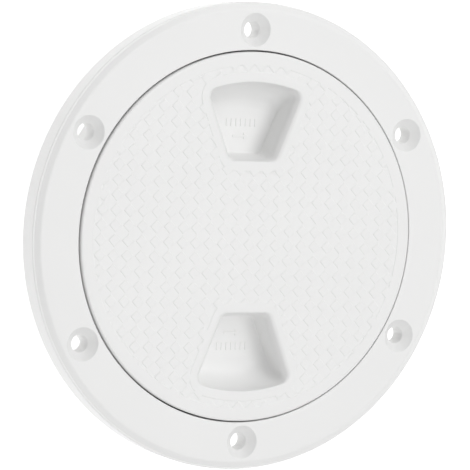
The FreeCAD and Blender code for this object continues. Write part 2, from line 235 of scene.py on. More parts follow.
def inside_distance(spots: np.ndarray, outline: Path) -> np.ndarray:
    """How far points lie inside a closed outline.

    Args:
        spots: the points, one in each row.
        outline: the outline's points.

    Returns:
        The distances, negative outside.
    """
    start = np.array(outline)
    run = np.roll(start, -1, axis=0) - start
    arm = spots[:, None, :] - start[None, :, :]
    share = np.clip((arm * run).sum(axis=2) / (run * run).sum(axis=1), 0.0, 1.0)
    gap = arm - share[:, :, None] * run[None, :, :]
    nearest = np.sqrt((gap * gap).sum(axis=2)).min(axis=1)
    x, y = spots[:, 0][:, None], spots[:, 1][:, None]
    crosses = (start[:, 1] > y) != ((start + run)[:, 1] > y)
    steep = np.where(np.abs(run[:, 1]) < FLAT_EPSILON, FLAT_EPSILON, run[:, 1])
    at = start[:, 0] + (y - start[:, 1]) / steep * run[:, 0]
    inside = (crosses & (x < at)).sum(axis=1) % 2 == 1
    return np.where(inside, nearest, -nearest)


def filled(outline: Path, holes: Sequence[Path], lines: Sequence[Path] = ()) -> tuple[Path, Faces]:
    """Triangles that fill a flat region.

    Args:
        outline: the region's closed outline, counter-clockwise.
        holes: closed outlines inside it that stay open, counter-clockwise.
        lines: further chains of points that the triangles' edges follow.

    Returns:
        The points and the triangles.
    """
    points: Path = []
    regions: list[list[int]] = []
    edges: list[tuple[int, int]] = []
    for loop in (outline, *holes):
        regions.append(list(range(len(points), len(points) + len(loop))))
        points.extend(loop)
    for chain in lines:
        first = len(points)
        points.extend(chain)
        edges.extend((number, number + 1) for number in range(first, len(points) - 1))
    spots, _, triangles, _, _, sources = geometry.delaunay_2d_cdt(
        [Vector(point) for point in points], edges, regions, 0, FLAT_EPSILON, True
    )
    kept = [tuple(t) for t, source in zip(triangles, sources) if set(source) == {0}]
    return [(spot.x, spot.y) for spot in spots], kept


def placed_object(name: str, data: ID) -> Object:
    """Puts an object in the scene.

    Args:
        name: the object's name.
        data: its mesh, lamp or camera.

    Returns:
        The object.
    """
    made = bpy.data.objects.new(name, data)
    bpy.context.scene.collection.objects.link(made)
    return made


class Shell:
    """A surface in millimetres that is put together patch by patch."""

    def __init__(self) -> None:
        """Starts with nothing in it."""
        self.mesh = bmesh.new()

    def add(self, points: list[Spot], faces: Faces) -> None:
        """Adds a patch.

        Args:
            points: the patch's points.
            faces: its faces, as numbers of its points.
        """
        corners = [self.mesh.verts.new(point) for point in points]
        for face in faces:
            self.mesh.faces.new([corners[number] for number in face])

    def fill(self, height: float, outline: Path, holes: Sequence[Path] = ()) -> None:
        """Adds a flat region with holes, at one height."""
        points, triangles = filled(outline, holes)
        self.add(lifted(points, height), triangles)

    def loft(self, rings: list[Ring], lid_first: bool = False, lid_last: bool = False) -> None:
        """Joins closed rings of one count, one after another.

        Args:
            rings: the rings, each a list of points.
            lid_first: whether a face closes the first ring.
            lid_last: whether a face closes the last ring.
        """
        count = len(rings[0])
        points = [point for ring in rings for point in ring]
        faces = []
        for low in range(0, len(points) - count, count):
            high = low + count
            for i in range(count):
                j = (i + 1) % count
                faces.append((low + i, low + j, high + j, high + i))
        if lid_first:
            faces.append(tuple(range(count)))
        if lid_last:
            faces.append(tuple(range(len(points) - count, len(points))))
        self.add(points, faces)

    def revolve(self, chain: Path) -> None:
        """Turns a chain of radius and height a full turn about the axis."""
        self.loft([lifted(circle(radius), height) for radius, height in chain])

    def join(self, mesh: Mesh) -> None:
        """Takes in a finished mesh, in millimetres, and removes the mesh."""
        self.mesh.from_mesh(mesh)
        bpy.data.meshes.remove(mesh)

    def to_mesh(self, name: str) -> Mesh:
        """Makes the surface a mesh and ends the shell.

        Args:
            name: the mesh's name.

        Returns:
            The mesh.
        """
        mesh = bpy.data.meshes.new(name)
        self.mesh.to_mesh(mesh)
        self.mesh.free()
        return mesh

    def finish(self, name: str) -> Mesh:
        """Welds the patches, turns their faces outwards and scales them to metres.

        Args:
            name: the mesh's name.

        Returns:
            The mesh.
        """
        bmesh.ops.remove_doubles(self.mesh, verts=self.mesh.verts, dist=WELD)
        loose = [vert for vert in self.mesh.verts if not vert.link_faces]
        bmesh.ops.delete(self.mesh, geom=loose, context="VERTS")
        bmesh.ops.recalc_face_normals(self.mesh, faces=self.mesh.faces)
        open_edges = sum(1 for edge in self.mesh.edges if not edge.is_manifold)
        bmesh.ops.scale(self.mesh, vec=Vector((MM, MM, MM)), verts=self.mesh.verts)
        LOG.info("%s: %d open edges", name, open_edges)
        return self.to_mesh(name)


class Wiring:
    """A node tree that is wired node by node."""

    def __init__(self, tree: NodeTree) -> None:
        """Takes the tree that gets the nodes."""
        self.tree = tree

    def feed(self, node: Node, inputs: Inputs) -> None:
        """Feeds the inputs of a node.

        Args:
            node: the node.
            inputs: for each input, the socket or list of sockets that feeds it, or its fixed value.
        """
        for name, value in inputs.items():
            if isinstance(value, NodeSocket):
                self.tree.links.new(value, node.inputs[name])
            elif isinstance(value, list):
                for socket in value:
                    self.tree.links.new(socket, node.inputs[name])
            else:
                node.inputs[name].default_value = value

    def node(
        self, kind: str, inputs: Inputs | None = None, output: str | int = 0, **settings: object
    ) -> NodeSocket:
        """Adds a node.

        Args:
            kind: the node's type.
            inputs: what feeds its inputs.
            output: the output that is wanted.
            settings: the node's own options.

        Returns:
            The socket of that output.
        """
        node = self.tree.nodes.new(kind)
        for option, value in settings.items():
            setattr(node, option, value)
        self.feed(node, inputs or {})
        return node.outputs[output]

    def maths(self, operation: str, first: object, second: object) -> NodeSocket:
        """Adds a sum of two sockets or numbers, and gives its result's socket."""
        return self.node("ShaderNodeMath", {0: first, 1: second}, operation=operation)


class Tree(Wiring):
    """A Geometry Nodes tree with named inputs, made for one finish."""

    KINDS = {
        float: "NodeSocketFloat",
        int: "NodeSocketInt",
        Object: "NodeSocketObject",
        Material: "NodeSocketMaterial",
    }

    def __init__(self, name: str, material: Material, values: dict[str, float | int | Shell]) -> None:
        """Makes the tree with one input for each value.

        Args:
            name: the tree's name.
            material: the finish of what it makes.
            values: each input's name and value; a shell becomes a helper object.
        """
        super().__init__(bpy.data.node_groups.new(name, "GeometryNodeTree"))
        self.values: dict[str, object] = {"Finish": material}
        for label, value in values.items():
            shape = isinstance(value, Shell)
            self.values[label] = placed_object(label, value.to_mesh(label)) if shape else value
        face = self.tree.interface
        for way in ("INPUT", "OUTPUT"):
            face.new_socket("Geometry", in_out=way, socket_type="NodeSocketGeometry")
        for label, value in self.values.items():
            kind = next(text for base, text in self.KINDS.items() if isinstance(value, base))
            face.new_socket(label, in_out="INPUT", socket_type=kind)
        self.source = self.tree.nodes.new("NodeGroupInput")

    def __getitem__(self, name: str) -> NodeSocket:
        """The socket of a named input."""
        return self.source.outputs[name]

    def vector(self, **axes: object) -> NodeSocket:
        """A vector from the sockets or numbers of its axes X, Y and Z."""
        return self.node("ShaderNodeCombineXYZ", axes)

    def moved(self, shape: NodeSocket, **moves: object) -> NodeSocket:
        """A geometry with its Translation, its Rotation or both."""
        return self.node("GeometryNodeTransform", {"Geometry": shape, **moves})

    def grid(self) -> NodeSocket:
        """A grid of points from the inputs Width, Height, Columns and Rows."""
        pairs = {"Size X": "Width", "Size Y": "Height", "Vertices X": "Columns", "Vertices Y": "Rows"}
        return self.node("GeometryNodeMeshGrid", {slot: self[name] for slot, name in pairs.items()})

    def form(self, name: str) -> NodeSocket:
        """The geometry of a named input's helper object."""
        return self.node("GeometryNodeObjectInfo", {"Object": self[name]}, "Geometry")

    def copies(self, name: str, points: NodeSocket, selection: object = True) -> NodeSocket:
        """Copies of a named input's form, one on each selected point."""
        inputs = {"Points": points, "Instance": self.form(name), "Selection": selection}
        return self.node("GeometryNodeInstanceOnPoints", inputs)

    def bake(self, shape: NodeSocket) -> Mesh:
        """Ends the tree, runs it and keeps what it makes, and removes the helper objects.

        Args:
            shape: the socket with the finished geometry.

        Returns:
            What the tree makes, as a plain mesh.
        """
        real = self.node("GeometryNodeRealizeInstances", {"Geometry": shape})
        dressed = self.node("GeometryNodeSetMaterial", {"Geometry": real, "Material": self["Finish"]})
        self.feed(self.tree.nodes.new("NodeGroupOutput"), {"Geometry": dressed})
        name = self.tree.name
        host = placed_object(name, bpy.data.meshes.new(name))
        modifier = host.modifiers.new(name, "NODES")
        modifier.node_group = self.tree
        for item in self.tree.interface.items_tree:
            if item.in_out == "INPUT" and item.name in self.values:
                modifier[item.identifier] = self.values[item.name]
        bpy.context.view_layer.update()
        graph = bpy.context.evaluated_depsgraph_get()
        baked = bpy.data.meshes.new_from_object(host.evaluated_get(graph))
        host.modifiers.clear()
        helpers = [value for value in self.values.values() if isinstance(value, Object)]
        for used in (host, *helpers):
            mesh = used.data
            bpy.data.objects.remove(used)
            bpy.data.meshes.remove(mesh)
        return baked


@dataclass
class Moulding:
    """A piece of the plate: its finish and the surface that it is built as."""

    material: Material
    shell: Shell = field(default_factory=Shell, init=False)

    def stand_in(self, name: str, part: Part) -> Object:
        """Dresses the finished surface and puts it in place of a solid of the frame.

        Args:
            name: the piece's name.
            part: the solid that it stands for.

        Returns:
            The piece.
        """
        mesh = self.shell.finish(name)
        mesh.materials.clear()
        mesh.materials.append(self.material)
        mesh.polygons.foreach_set("material_index", [0] * len(mesh.polygons))
        mesh.shade_smooth()
        mesh.set_sharp_from_angle(angle=SHARP_ANGLE)
        piece = placed_object(name, mesh)
        shading = piece.modifiers.new("even_shading", "WEIGHTED_NORMAL")
        shading.keep_sharp = True
        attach(piece, part.body)
        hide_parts(part.node)
        return piece


@dataclass(frozen=True)
class Finish:
    """A moulded skin: a colour that drifts in soft patches, over a fine grain. Sizes in metres."""

    name: str
    colour: Colour
    drift: Colour
    roughness: tuple[float, float]
    patch_size: float
    patch_detail: float
    grain_size: float
    grain_depth: float = 0.00001
    grain_detail: float = 2.0

    def material(self) -> Material:
        """Builds the finish as shader nodes.

        Returns:
            The material.
        """
        made = bpy.data.materials.new(self.name)
        made.use_nodes = True
        wiring = Wiring(made.node_tree)
        place = wiring.node("ShaderNodeTexCoord", output="Object")
        patches = wiring.node("ShaderNodeTexNoise", {
            "Vector": place, "Scale": 1.0 / self.patch_size, "Detail": self.patch_detail,
        })
        grain = wiring.node("ShaderNodeTexNoise", {
            "Vector": place, "Scale": 1.0 / self.grain_size, "Detail": self.grain_detail,
        })
        tint = {"Factor": patches, "A": (*self.colour, 1.0), "B": (*self.drift, 1.0)}
        sheen = {"Value": patches, "To Min": self.roughness[0], "To Max": self.roughness[1]}
        relief = {"Height": grain, "Distance": self.grain_depth}
        wiring.feed(made.node_tree.nodes["Principled BSDF"], {
            "Base Color": wiring.node("ShaderNodeMix", tint, "Result", data_type="RGBA"),
            "Roughness": wiring.node("ShaderNodeMapRange", sheen),
            "Normal": wiring.node("ShaderNodeBump", relief),
        })
        return made


@dataclass(frozen=True)
class MouldedPlastic(Finish):
    """White plastic with the soft gloss of a moulding."""

    colour: Colour = (0.87, 0.87, 0.865)
    drift: Colour = (0.85, 0.85, 0.845)
    roughness: tuple[float, float] = (0.36, 0.46)
    patch_size: float = 0.03
    patch_detail: float = 3.0
    grain_size: float = 0.0007


@dataclass(frozen=True)
class SealRubber(Finish):
    """Black rubber with a dull, faintly dusty skin."""

    colour: Colour = (0.022, 0.022, 0.024)
    drift: Colour = (0.05, 0.05, 0.052)
    roughness: tuple[float, float] = (0.62, 0.62)
    patch_size: float = 0.004
    patch_detail: float = 2.0
    grain_size: float = 0.0003


@dataclass(frozen=True)
class Thread:
    """One of the two coarse screw threads, as a ridge of trapezoid section."""

    name: str
    side: ThreadSide
    material: Material
    root: float
    start: float
    turns: float
    pitch: float = 5.0
    depth: float = 1.4
    crest: float = 1.65
    slope: float = 0.5
    bury: float = 0.4
    corner: float = 0.3
    corner_steps: int = 3
    points_per_turn: int = 120

    def mesh(self) -> Mesh:
        """Sweeps the ridge's section along its helix.

        Returns:
            The ridge as a closed mesh, in millimetres.
        """
        height = self.depth + self.bury
        side = self.side.value
        tree = Tree(self.name, self.material, {
            "Helix radius": self.root + side * (self.depth - self.bury) / 2,
            "Start height": self.start,
            "Turns": self.turns,
            "Travel": self.turns * self.pitch,
            "Points per turn": self.points_per_turn,
            "Ridge height": height,
            "Crest width": self.crest,
            "Root width": self.crest + 2 * height * self.slope,
            "Corner rounding": self.corner,
            "Corner steps": self.corner_steps,
            "Outward": side,
        })
        helix = tree.node("GeometryNodeCurveSpiral", {
            "Resolution": tree["Points per turn"],
            "Rotations": tree["Turns"],
            "Start Radius": tree["Helix radius"],
            "End Radius": tree["Helix radius"],
            "Height": tree["Travel"],
        })
        upright = tree.node("GeometryNodeSetCurveNormal", {"Curve": helix}, mode="Z_UP")
        section = tree.node("GeometryNodeCurvePrimitiveQuadrilateral", {
            "Height": tree["Ridge height"],
            "Bottom Width": tree["Root width"],
            "Top Width": tree["Crest width"],
            "Offset": 0.0,
        }, mode="TRAPEZOID")
        smooth = tree.node("GeometryNodeFilletCurve", {
            "Curve": section,
            "Radius": tree["Corner rounding"],
            "Count": tree["Corner steps"],
        }, mode="POLY")
        facing = tree.maths("MULTIPLY", tree["Outward"], QUARTER)
        swept = tree.node("GeometryNodeCurveToMesh", {
            "Curve": upright,
            "Profile Curve": tree.moved(smooth, Rotation=tree.vector(Z=facing)),
            "Fill Caps": True,
        })
        return tree.bake(tree.moved(swept, Translation=tree.vector(Z=tree["Start height"])))


@dataclass
class MountingRing(Moulding):
    """The flanged ring with its screw holes, seal seat and threaded collar."""

    flange_radius: float = Part.RING.box()[1].x
    face_height: float = Part.RING.box()[1].z
    collar_end: float = Part.RING.box()[0].z
    collar_radius: float = MOUNTS["collar"]["r_mm"]
    hole_circle: float = MOUNTS["screw_holes"]["pcd_mm"]
    hole_count: int = MOUNTS["screw_holes"]["count"]
    hole_radius: float = MOUNTS["screw_holes"]["hole_r_mm"]
    hole_start: float = 90.0
    head_radius: float = 5.1
    head_rim: float = 0.22
    ledge_drop: float = 1.0
    ledge_outer_inset: float = 0.04
    ledge_inner_inset: float = 0.7
    face_inset: float = 2.35
    face_round: float = 1.5
    ledge_round: float = 0.4
    foot_round: float = 0.25
    base_round: float = 0.25
    mouth_radius: float = 56.85
    mouth_round: float = 0.3
    shelf_height: float = 3.0
    root_radius: float = 53.5
    seat_round: float = 0.2
    collar_bevel: float = 0.6
    bevel_round: float = 0.1
    flat_margin: float = 0.75
    mouth_margin: float = 0.4
    thread_start: float = -8.475
    thread_turns: float = 1.5

    def outer_chain(self) -> Path:
        """The stepped outside of the flange.

        Returns:
            Its radius and height, from its underside to its face.
        """
        radius = self.flange_radius
        ledge = self.face_height - self.ledge_drop
        face = radius - self.face_inset
        return rounded([
            (radius - self.flat_margin, 0.0, 0.0),
            (radius, 0.0, self.base_round),
            (radius - self.ledge_outer_inset, ledge, self.ledge_round),
            (radius - self.ledge_inner_inset, ledge, self.foot_round),
            (face, self.face_height, self.face_round),
            (face - self.flat_margin, self.face_height, 0.0),
        ])

    def inner_chain(self) -> Path:
        """The mouth, seal seat and collar.

        Returns:
            Their radius and height, from the face round to the deck's level.
        """
        end = self.collar_end
        bevel = self.collar_bevel
        return rounded([
            (self.mouth_radius + self.mouth_margin, self.face_height, 0.0),
            (self.mouth_radius, self.face_height, self.mouth_round),
            (self.mouth_radius, self.shelf_height, self.seat_round),
            (self.root_radius, self.shelf_height, self.seat_round),
            (self.root_radius, end, self.seat_round),
            (self.collar_radius - bevel, end, self.bevel_round),
            (self.collar_radius, end + bevel, self.bevel_round),
            (self.collar_radius, 0.0, 0.0),
        ])

    def hole_chain(self) -> Path:
        """The wall of a screw hole.

        Returns:
            Its radius and height, from its rim at the face down to the deck's level.
        """
        head_foot = self.face_height - (self.head_radius - self.hole_radius)
        return rounded([
            (self.head_radius + self.head_rim / 2, self.face_height, 0.0),
            (self.head_radius, self.face_height, self.head_rim),
            (self.hole_radius, head_foot, self.head_rim),
            (self.hole_radius, 0.0, 0.0),
        ])

    def hole_walls(self) -> Mesh:
        """Sets the wall of a screw hole round the circle of holes.

        Returns:
            The walls as one mesh, in millimetres.
        """
        wall = Shell()
        wall.loft([lifted(circle(r, HOLE_STEPS), z) for r, z in self.hole_chain()])
        tree = Tree("screw_hole_circle", self.material, {
            "Hole wall": wall,
            "Count": self.hole_count,
            "Circle radius": self.hole_circle / 2,
            "First angle": math.radians(self.hole_start),
        })
        size = {"Vertices": tree["Count"], "Radius": tree["Circle radius"]}
        places = tree.node("GeometryNodeMeshCircle", size)
        aimed = tree.moved(places, Rotation=tree.vector(Z=tree["First angle"]))
        return tree.bake(tree.copies("Hole wall", aimed))

    def flat_side(self, radii: Flat, hole: float, height: float) -> None:
        """Adds a flat ring with the screw holes in it.

        Args:
            radii: its inner and outer radius.
            hole: the radius of a hole at this level.
            height: the level.
        """
        middles = turned(circle(self.hole_circle / 2, self.hole_count), self.hole_start)
        holes = [circle(hole, HOLE_STEPS, middle) for middle in middles]
        self.shell.fill(height, circle(radii[1]), [circle(radii[0]), *holes])

    def build(self) -> Object:
        """Builds the ring.

        Returns:
            The piece.
        """
        outer = self.outer_chain()
        inner = self.inner_chain()
        wall = self.hole_chain()
        self.shell.revolve(outer)
        self.shell.revolve(inner)
        self.flat_side((inner[0][0], outer[-1][0]), wall[0][0], self.face_height)
        self.flat_side((inner[-1][0], outer[0][0]), wall[-1][0], 0.0)
        self.shell.join(self.hole_walls())
        place = (self.root_radius, self.thread_start, self.thread_turns)
        self.shell.join(Thread("ring_thread", ThreadSide.INWARD, self.material, *place).mesh())
        return self.stand_in("ring_moulding", Part.RING)


@dataclass
class Recess:
    """A finger recess: a keystone in plan, steep at its sides and scooped at its outer end."""

    turn: float = -0.7
    inner_edge: float = 23.2
    outer_radius: float = 47.1
    inner_half: float = 7.8
    outer_half: float = 16.2
    inner_round: float = 2.6
    outer_round: float = 2.8
    depth: float = 10.2
    side_flare: float = 0.85
    side_round: float = 3.4
    side_lean: float = 62.0
    inner_run: float = 1.8
    scoop_run: float = 7.6
    wall: float = 2.2
    rim_round: float = 0.5
    floor_round: float = 0.5
    side_steps: int = 14
    base_steps: int = 6
    corner_steps: int = 8
    arc_steps: int = 18
    wall_steps: int = 14
    round_steps: int = 5

    def side_inset(self, sink: float) -> float:
        """How far a side wall's rounded top lies inside its mouth.

        Args:
            sink: the level's share of the depth.

        Returns:
            The distance; below the rounding the wall stands upright.
        """
        lean = math.radians(self.side_lean)
        above = max(self.side_round * math.sin(lean) - sink * self.depth, 0.0)
        return math.sqrt(self.side_round**2 - above**2) - self.side_round * math.cos(lean)

    def outline(self, sink: float, grow: float = 0.0, flare: float = 0.0) -> Path:
        """The outline at one level, counter-clockwise from the middle of its inner edge.

        Args:
            sink: the level's share of the depth, from 0 at the face to 1 at the floor.
            grow: how far the whole outline is pushed outwards.
            flare: how much further out the side walls stand.

        Returns:
            The points, the same number at each level.
        """
        inner_y = self.inner_edge + self.inner_run * sink - grow
        outer_r = self.outer_radius - self.scoop_run * (1 - math.sqrt(1 - sink * sink)) + grow
        foot = Vector((self.inner_half, self.inner_edge))
        head = Vector((self.outer_half, math.sqrt(self.outer_radius**2 - self.outer_half**2)))
        along = (head - foot).normalized()
        outward = Vector((along.y, -along.x))
        side = foot + outward * (grow + flare - self.side_inset(sink))
        lean = math.atan2(outward.y, outward.x)

        inner_round = max(self.inner_round + grow, self.floor_round)
        line = side - outward * inner_round
        low = line + along * ((inner_y + inner_round - line.y) / along.y)
        outer_round = max(self.outer_round + grow, self.floor_round)
        line = side - outward * outer_round
        reach = line.dot(along)
        past = math.sqrt((outer_r - outer_round) ** 2 - line.length_squared + reach**2) - reach
        high = line + along * past
        arc_start = math.atan2(high.y, high.x)

        start = low + outward * inner_round
        end = high + outward * outer_round
        half = [(low.x * step / self.base_steps, inner_y) for step in range(self.base_steps)]
        half += arc(low, inner_round, (-QUARTER, lean), self.corner_steps)[:-1]
        half += [tuple(start.lerp(end, step / self.side_steps)) for step in range(self.side_steps)]
        half += arc(high, outer_round, (lean, arc_start), self.corner_steps)[:-1]
        half += arc((0.0, 0.0), outer_r, (arc_start, QUARTER), self.arc_steps)
        return half + [(-x, y) for x, y in reversed(half[1:-1])]

    def placed(self, points: Path, side: RecessSide) -> Path:
        """An outline turned to its place in the cover."""
        return turned(points, side.value + self.turn)

    def cup(self, top: float, depth: float, grow: float, start: float) -> list[Level]:
        """The outlines and levels of the cup's wall, down to its rounded floor edge.

        Args:
            top: the height of the cover's face.
            depth: from the face to the flat floor.
            grow: how far the wall stands outside the recess.
            start: the depth of the first outline.

        Returns:
            Each outline with its level.
        """
        sinks = []
        first = math.asin(start / depth)
        last = math.asin(1 - self.floor_round / depth)
        for step in range(self.wall_steps):
            sinks.append((math.sin(first + (last - first) * step / self.wall_steps), grow))
        for step in range(self.round_steps + 1):
            bend = QUARTER * step / self.round_steps
            inset = self.floor_round * (1 - math.cos(bend))
            sinks.append((1 - self.floor_round * (1 - math.sin(bend)) / depth, grow - inset))
        return [(self.outline(sink, out, self.side_flare), top - depth * sink) for sink, out in sinks]

    def mouth(self, top: float) -> list[Level]:
        """The rounded edge between the cover's face and the recess's wall.

        Args:
            top: the height of the cover's face.

        Returns:
            Each outline with its level, from the face down.
        """
        levels = []
        for step in range(self.round_steps):
            bend = QUARTER * step / self.round_steps
            drop = self.rim_round * (1 - math.cos(bend))
            grow = self.rim_round * (1 - math.sin(bend))
            levels.append((self.outline(drop / self.depth, grow, self.side_flare), top - drop))
        return levels


@dataclass
class FloorMarks:
    """The raised marks on a recess's floor: an arrow and a row of short bars."""

    height: float = 0.18
    bury: float = 0.1
    edge: float = 0.08
    arrow_place: float = 30.3
    arrow_length: float = 5.5
    shaft_half: float = 0.35
    head_length: float = 1.7
    head_half: float = 1.0
    bar_place: float = 34.5
    bar_count: int = 7
    bar_pitch: float = 1.65
    bar_half: float = 0.25
    bar_length: float = 2.4
    aside: float = 0.6

    def arrow(self) -> Path:
        """The arrow's outline.

        Returns:
            The points; it points along +X, round its middle.
        """
        tip = self.arrow_length / 2
        neck = tip - self.head_length
        half = self.shaft_half
        return [
            (-tip, -half), (neck, -half), (neck, -self.head_half), (tip, 0.0),
            (neck, self.head_half), (neck, half), (-tip, half),
        ]

    def bar(self) -> Path:
        """The outline of a bar that lies along Y, round its middle."""
        wide, far = self.bar_half, self.bar_length / 2
        return [(-wide, -far), (wide, -far), (wide, far), (-wide, far)]

    def raised(self, outline: Path) -> Shell:
        """Raises a flat form off a floor at height 0, with its top edges softened.

        Args:
            outline: the form's outline.

        Returns:
            The form as a closed surface.
        """
        shell = Shell()
        soft = shrunk(outline, self.edge)
        low = self.height - self.edge
        shell.loft([lifted(outline, -self.bury), lifted(outline, low), lifted(soft, self.height)])
        shell.fill(-self.bury, outline)
        shell.fill(self.height, soft)
        bmesh.ops.remove_doubles(shell.mesh, verts=shell.mesh.verts, dist=WELD)
        return shell

    def mesh(self, turn: float, floor: float, material: Material) -> Mesh:
        """Sets the marks on both floors.

        Args:
            turn: the turn of the recesses about the axis, in degrees.
            floor: the height of the floors.
            material: the finish of the moulding.

        Returns:
            The marks as one mesh, in millimetres.
        """
        tree = Tree("floor_marks", material, {
            "Arrow": self.raised(self.arrow()),
            "Bar": self.raised(self.bar()),
            "Arrow distance": self.arrow_place,
            "Columns": self.bar_count,
            "Rows": len(RecessSide),
            "Width": (self.bar_count - 1) * self.bar_pitch,
            "Height": 2 * self.bar_place,
            "Aside": self.aside,
            "Floor": floor,
            "Turn": math.radians(turn),
        })
        far = tree["Arrow distance"]
        pair = tree.node("GeometryNodeMeshLine", {
            "Count": tree["Rows"],
            "Start Location": tree.vector(Y=tree.maths("MULTIPLY", far, -1.0)),
            "Offset": tree.vector(Y=tree.maths("MULTIPLY", far, 2.0)),
        })
        marks = [tree.copies("Arrow", pair), tree.copies("Bar", tree.grid())]
        both = tree.node("GeometryNodeJoinGeometry", {"Geometry": marks})
        place = tree.vector(X=tree["Aside"], Z=tree["Floor"])
        return tree.bake(tree.moved(both, Translation=place, Rotation=tree.vector(Z=tree["Turn"])))


@dataclass
class Tread:
    """The non-slip field of studs: squares that stand on a corner, in a square grid."""

    radius: float = 52.4
    border: float = 3.1
    depth: float = 0.17
    pitch: float = 4.54
    base: float = 4.3
    top: float = 3.5
    corner: float = 0.3
    least_corner: float = 0.06
    clear: float = 0.2
    reach: float = 1.2
    line_step: float = 0.6
    turn: float = -2.2
    bury: float = 0.06
    corner_steps: int = 2
    ramp: tuple[Flat, ...] = ((0.0, 0.0), (0.3, 0.2), (0.78, 0.88), (1.0, 1.0))

    def run(self) -> float:
        """How far a wall of the tread leans out from its top to its foot."""
        return (self.base - self.top) / 2 / math.sqrt(2)

    def steps(self) -> Path:
        """The distance in from a wall's foot, and the share of its height there."""
        return [(share * self.run(), height) for share, height in self.ramp]

    def rows(self) -> int:
        """How many rows of the grid reach from the middle past the field's edge."""
        return math.ceil(self.radius / self.pitch) + 1

    def stud_outline(self, inset: float) -> Path:
        """A stud's outline, a square on its corner with rounded corners, turned as it stands.

        Args:
            inset: the distance in from the stud's foot.

        Returns:
            The points, counter-clockwise.
        """
        half = self.base / 2 / math.sqrt(2) - inset
        radius = max(self.corner - inset, self.least_corner)
        reach = (half - radius) * math.sqrt(2)
        points = []
        for quarter in range(4):
            middle = QUARTER * quarter
            centre = (reach * math.cos(middle), reach * math.sin(middle))
            first = middle - QUARTER / 2
            points += arc(centre, radius, (first, first + QUARTER), self.corner_steps)
        return turned(points, self.turn)

    def edge_depth(self, spots: np.ndarray, borders: list[Path]) -> np.ndarray:
        """How far points lie inside the plain rim and borders, past the foot of their wall.

        Args:
            spots: the points, one in each row.
            borders: the outlines of the plain borders round the recesses.

        Returns:
            The distances, negative out in the field.
        """
        depth = np.hypot(*spots.T) - self.radius
        for border in borders:
            depth = np.maximum(depth, inside_distance(spots, border))
        return depth + self.run() / 2

    def stud_depth(self, spots: np.ndarray, middle: Flat) -> np.ndarray:
        """How far points lie inside a stud's foot.

        Args:
            spots: the points, one in each row.
            middle: the stud's middle.

        Returns:
            The distances, negative outside.
        """
        angle = math.radians(self.turn) + QUARTER / 2
        turn = np.array(((math.cos(angle), -math.sin(angle)), (math.sin(angle), math.cos(angle))))
        local = np.abs((spots - np.array(middle)) @ turn)
        past = local - (self.base / 2 / math.sqrt(2) - self.corner)
        outside = np.hypot(*np.maximum(past, 0.0).T)
        return self.corner - outside - np.minimum(past.max(axis=1), 0.0)

    def studs(self, borders: list[Path], levels: Flat, material: Material) -> tuple[Mesh, Path]:
        """Sets studs over the whole field, where they stand clear of its edge.

        Args:
            borders: the outlines of the plain borders round the recesses.
            levels: the heights of the tread's floor and of the cover's face.
            material: the finish of the moulding.

        Returns:
            The studs as one mesh, in millimetres, and their middles.
        """
        floor, face = levels
        stud = Shell()
        rings = [lifted(self.stud_outline(0.0), floor - self.bury)]
        for inset, share in self.steps():
            rings.append(lifted(self.stud_outline(inset), floor + share * (face - floor)))
        stud.loft(rings, lid_first=True, lid_last=True)
        per_stud = len(stud.mesh.verts)
        bmesh.ops.recalc_face_normals(stud.mesh, faces=stud.mesh.faces)

        region = Shell()
        region.fill(0.0, circle(self.radius), borders)
        edge = Shell()
        for loop in (circle(self.radius), *borders):
            corners = [edge.mesh.verts.new((x, y, 0.0)) for x, y in loop]
            for number, corner in enumerate(corners):
                edge.mesh.edges.new((corners[number - 1], corner))

        rows = self.rows()
        tree = Tree("tread_studs", material, {
            "Stud": stud,
            "Field": region,
            "Field edge": edge,
            "Columns": 2 * rows + 1,
            "Rows": 2 * rows,
            "Width": 2 * rows * self.pitch,
            "Height": (2 * rows - 1) * self.pitch,
            "Turn": math.radians(self.turn),
            "Clear room": (self.base + self.clear) / 2,
        })
        aimed = tree.moved(tree.grid(), Rotation=tree.vector(Z=tree["Turn"]))
        away, off_edge = (
            tree.node("GeometryNodeProximity", {0: tree.form(name)}, "Distance", target_element=kind)
            for name, kind in (("Field", "FACES"), ("Field edge", "EDGES"))
        )
        inside = tree.maths("LESS_THAN", away, WELD)
        room = tree.maths("GREATER_THAN", off_edge, tree["Clear room"])
        baked = tree.bake(tree.copies("Stud", aimed, tree.maths("MULTIPLY", inside, room)))
        corners = np.empty(len(baked.vertices) * 3, dtype=np.float32)
        baked.vertices.foreach_get("co", corners)
        middles = corners.reshape(-1, per_stud, 3).mean(axis=1)
        return baked, [(float(x), float(y)) for x, y, _ in middles]

    def cut_studs(self, clear: Path, borders: list[Path]) -> Path:
        """The studs that the field's edge cuts.

        Args:
            clear: the middles of the studs that stand clear of the edge.
            borders: the outlines of the plain borders round the recesses.

        Returns:
            Their middles.
        """
        rows = self.rows()
        grid = [
            (i * self.pitch, (j + 0.5) * self.pitch)
            for i in range(-rows, rows + 1)
            for j in range(-rows, rows)
        ]
        spots = np.array(turned(grid, self.turn))
        nearest = np.array([np.hypot(*(np.array(clear) - spot).T).min() for spot in spots])
        inward = np.max([inside_distance(spots, border) for border in borders], axis=0)
        in_reach = (np.hypot(*spots.T) <= self.radius + self.reach) & (inward <= self.reach)
        found = spots[in_reach & (nearest >= self.pitch / 2)]
        return [(float(x), float(y)) for x, y in found]


